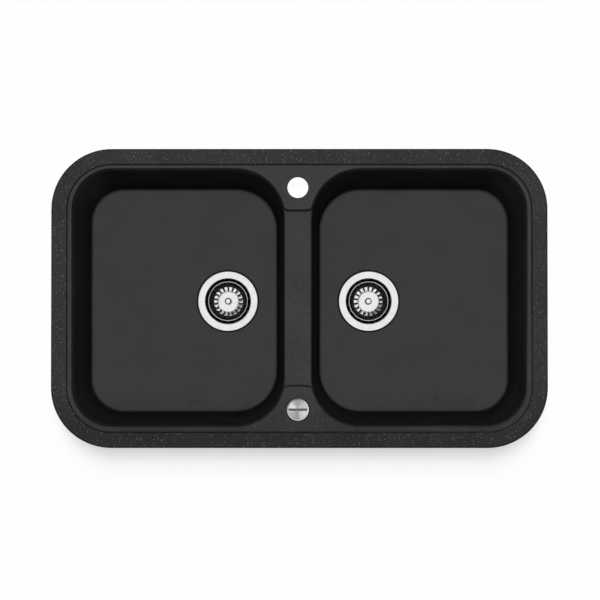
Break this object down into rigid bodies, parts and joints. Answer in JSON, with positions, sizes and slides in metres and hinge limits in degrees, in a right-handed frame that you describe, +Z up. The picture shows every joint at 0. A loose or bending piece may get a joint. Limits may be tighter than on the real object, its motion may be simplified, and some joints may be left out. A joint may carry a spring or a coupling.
{
  "type": "double bowl kitchen sink",
  "caption": "Inset kitchen sink with side-by-side bowls, lowered divider, tap hole, basket wastes, a turning pop-up knob and claws that clamp the rim.",
  "frame": {"origin": "middle of the rim's outline, in the plane of the rim's underside, which is the worktop's top surface", "axes": "+X to the right along the long side, +Y to the side with the tap hole, +Z up"},
  "size_m": [0.83, 0.5, 0.3119],
  "materials": {
    "granite_composite": "fine matt with light specks",
    "polished_steel": "polished",
    "brushed_steel": "turned and brushed",
    "zinc_plated_steel": "bright zinc plate",
    "black_rubber": "matt",
    "grey_foam": "closed-cell foam",
    "white_plastic": "moulded polypropylene",
    "black_plastic": "moulded nylon"
  },
  "bodies": {
    "sink": {"sink_body": "granite_composite", "rim_seal": "grey_foam", "left_waste_flange": "polished_steel", "left_waste_flange_gasket": "black_rubber", "left_waste_under_gasket": "black_rubber", "left_waste_centre_screw": "brushed_steel", "left_waste_body": "white_plastic", "right_waste_flange": "polished_steel", "right_waste_flange_gasket": "black_rubber", "right_waste_under_gasket": "black_rubber", "right_waste_centre_screw": "brushed_steel", "right_waste_body": "white_plastic", "right_waste_tailpiece": "white_plastic", "lever_housing": "white_plastic", "lever_cover": "white_plastic", "lever_pivot": "brushed_steel", "knob_gasket": "black_rubber", "knob_sleeve": "brushed_steel", "knob_washer": "black_rubber", "knob_nut": "zinc_plated_steel", "drum_case": "black_plastic", "drum_cover": "black_plastic", "claw_screw_1": "zinc_plated_steel", "claw_screw_2": "zinc_plated_steel", "claw_screw_3": "zinc_plated_steel", "claw_screw_4": "zinc_plated_steel", "claw_screw_5": "zinc_plated_steel", "claw_screw_6": "zinc_plated_steel", "claw_screw_7": "zinc_plated_steel", "claw_screw_8": "zinc_plated_steel"},
    "left_basket": {"left_waste_basket": "polished_steel", "left_waste_basket_post": "polished_steel", "left_waste_stopper": "black_rubber", "left_waste_stopper_nut": "brushed_steel"},
    "right_basket": {"right_waste_basket": "polished_steel", "right_waste_basket_post": "polished_steel", "right_waste_stopper": "black_rubber", "right_waste_stopper_nut": "brushed_steel"},
    "lift_pin": {"lift_pin": "brushed_steel"},
    "lever": {"lift_lever": "zinc_plated_steel"},
    "knob": {"control_knob": "brushed_steel", "knob_grub_screw": "zinc_plated_steel", "knob_spindle": "brushed_steel", "cable_drum": "white_plastic"},
    "claw_1": {"fixing_claw_1": "zinc_plated_steel"},
    "claw_2": {"fixing_claw_2": "zinc_plated_steel"},
    "claw_3": {"fixing_claw_3": "zinc_plated_steel"},
    "claw_4": {"fixing_claw_4": "zinc_plated_steel"},
    "claw_5": {"fixing_claw_5": "zinc_plated_steel"},
    "claw_6": {"fixing_claw_6": "zinc_plated_steel"},
    "claw_7": {"fixing_claw_7": "zinc_plated_steel"},
    "claw_8": {"fixing_claw_8": "zinc_plated_steel"}
  },
  "joints": [
    {"name": "knob_turn", "type": "hinge", "parent": "sink", "child": "knob", "pos_m": [-0.0025, -0.1857, 0.01], "axis": [0, 0, 1], "range_deg": [0, 90]},
    {"name": "lever_rock", "type": "hinge", "parent": "sink", "child": "lever", "pos_m": [0.1205, -0.028, -0.256], "axis": [1, 0, 0], "range_deg": [0, 16.43]},
    {"name": "pin_rise", "type": "slide", "parent": "sink", "child": "lift_pin", "axis": [0, 0, 1], "range_m": [0, 0.008]},
    {"name": "right_basket_lift_out", "type": "slide", "parent": "lift_pin", "child": "right_basket", "axis": [0, 0, 1], "range_m": [0, 0.25]},
    {"name": "left_basket_lift_out", "type": "slide", "parent": "sink", "child": "left_basket", "axis": [0, 0, 1], "range_m": [0, 0.25]},
    {"name": "claw_1_swing", "type": "hinge", "parent": "sink", "child": "claw_1", "pos_m": [-0.25, 0.231, -0.034], "axis": [0, 0, 1], "range_deg": [0, 90]},
    {"name": "claw_2_swing", "type": "hinge", "parent": "sink", "child": "claw_2", "pos_m": [-0.0025, 0.231, -0.034], "axis": [0, 0, 1], "range_deg": [0, 90]},
    {"name": "claw_3_swing", "type": "hinge", "parent": "sink", "child": "claw_3", "pos_m": [0.25, 0.231, -0.034], "axis": [0, 0, 1], "range_deg": [0, 90]},
    {"name": "claw_4_swing", "type": "hinge", "parent": "sink", "child": "claw_4", "pos_m": [-0.25, -0.231, -0.034], "axis": [0, 0, 1], "range_deg": [0, 90]},
    {"name": "claw_5_swing", "type": "hinge", "parent": "sink", "child": "claw_5", "pos_m": [-0.0025, -0.231, -0.034], "axis": [0, 0, 1], "range_deg": [0, 90]},
    {"name": "claw_6_swing", "type": "hinge", "parent": "sink", "child": "claw_6", "pos_m": [0.25, -0.231, -0.034], "axis": [0, 0, 1], "range_deg": [0, 90]},
    {"name": "claw_7_swing", "type": "hinge", "parent": "sink", "child": "claw_7", "pos_m": [0.396, 0, -0.034], "axis": [0, 0, 1], "range_deg": [0, 90]},
    {"name": "claw_8_swing", "type": "hinge", "parent": "sink", "child": "claw_8", "pos_m": [-0.396, 0, -0.034], "axis": [0, 0, 1], "range_deg": [0, 90]}
  ],
  "couplings": [
    {"joint": "lever_rock", "follows": "knob_turn", "ratio": 0.1825},
    {"joint": "pin_rise", "follows": "knob_turn", "m_per_rad": 0.005092}
  ]
}
